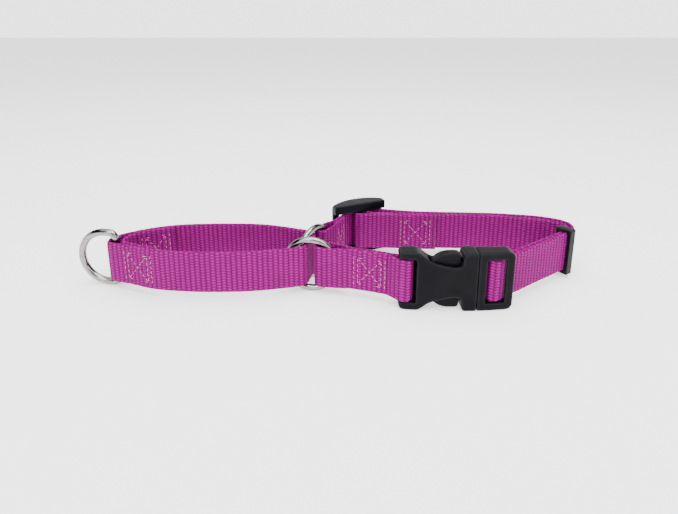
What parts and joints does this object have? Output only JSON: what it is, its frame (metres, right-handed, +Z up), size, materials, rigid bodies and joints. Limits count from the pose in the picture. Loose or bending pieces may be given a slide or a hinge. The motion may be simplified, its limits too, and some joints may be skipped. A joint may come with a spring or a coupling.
{
  "type": "martingale dog collar",
  "caption": "Martingale collar of ribbed webbing with a side-release buckle, tri-glide, keeper, two welded rings and a control loop that carries a leash ring.",
  "frame": {"origin": "centre of the object's box, on the surface it stands on", "axes": "+X from the leash ring towards the keeper, +Y towards the tri-glide side, +Z up across the webbing"},
  "size_m": [0.231, 0.0666, 0.027],
  "materials": {
    "webbing": "woven",
    "thread": "twisted",
    "plastic": "satin",
    "metal": "polished"
  },
  "bodies": {
    "collar": {"front_strap_ring_fold": "webbing", "front_strap": "webbing", "front_strap_buckle_fold": "webbing", "front_strap_stitching": "thread", "buckle_socket": "plastic", "back_outer_strap": "webbing", "back_inner_strap": "webbing", "rear_strap_ring_fold": "webbing", "rear_strap_outer": "webbing", "rear_strap_inner": "webbing", "rear_strap_stitching": "thread"},
    "male_half": {"buckle_base": "plastic", "buckle_strap_fold": "webbing", "buckle_strap": "webbing", "bend_outer_strap": "webbing", "bend_inner_strap": "webbing"},
    "upper_prong": {"upper_prong": "plastic"},
    "lower_prong": {"lower_prong": "plastic"},
    "control_loop": {"control_loop_front": "webbing", "control_loop_back": "webbing", "control_loop_overlap": "webbing", "loop_front_stitching": "thread", "loop_back_stitching": "thread"},
    "leash_ring": {"leash_ring": "metal"},
    "front_ring": {"front_ring": "metal"},
    "rear_ring": {"rear_ring": "metal"},
    "keeper": {"keeper": "plastic"},
    "tri_glide": {"tri_glide": "plastic", "adjuster_weave": "webbing", "adjuster_fold": "webbing", "adjuster_inner_layer": "webbing", "strap_tail": "webbing", "tail_stitching": "thread"}
  },
  "joints": [
    {"name": "buckle_release", "type": "slide", "parent": "collar", "child": "male_half", "axis": [1, 0, 0], "range_m": [0, 0.024], "deforming": ["upper_prong", "lower_prong"]},
    {"name": "upper_prong_press", "type": "hinge", "parent": "male_half", "child": "upper_prong", "pos_m": [0.06016, -0.02884, 0.0191], "axis": [0, -1, 0], "range_deg": [0, 12], "stiffness_Nm_per_rad": 0.05},
    {"name": "lower_prong_press", "type": "hinge", "parent": "male_half", "child": "lower_prong", "pos_m": [0.06016, -0.02884, 0.0065], "axis": [0, -1, 0], "range_deg": [-12, 0], "stiffness_Nm_per_rad": 0.05},
    {"name": "loop_swing", "type": "hinge", "parent": "collar", "child": "control_loop", "pos_m": [-0.01024, -0.00784, 0.0128], "axis": [0, 0, 1], "range_deg": [-10, 10], "deforming": ["front_strap_ring_fold", "rear_strap_ring_fold"]},
    {"name": "leash_ring_swing", "type": "hinge", "parent": "control_loop", "child": "leash_ring", "pos_m": [-0.09674, -0.01084, 0.0128], "axis": [0, 0, 1], "range_deg": [-60, 60]},
    {"name": "front_ring_turn", "type": "hinge", "parent": "control_loop", "child": "front_ring", "pos_m": [-0.00964, -0.01564, 0.0128], "axis": [0, 0, 1], "range_deg": [-3, 2]},
    {"name": "rear_ring_turn", "type": "hinge", "parent": "control_loop", "child": "rear_ring", "pos_m": [-0.00844, -0.00194, 0.0128], "axis": [0, 0, 1], "range_deg": [-3, 0]},
    {"name": "keeper_slide", "type": "slide", "parent": "male_half", "child": "keeper", "axis": [-0.8192, -0.5736, 0], "range_m": [0, 0.014]},
    {"name": "size_slide", "type": "slide", "parent": "collar", "child": "tri_glide", "axis": [0.9974, -0.0715, 0], "range_m": [0, 0.008], "deforming": ["adjuster_weave", "adjuster_inner_layer", "strap_tail", "tail_stitching"]}
  ],
  "couplings": [
    {"joint": "lower_prong_press", "follows": "upper_prong_press", "ratio": -1}
  ]
}
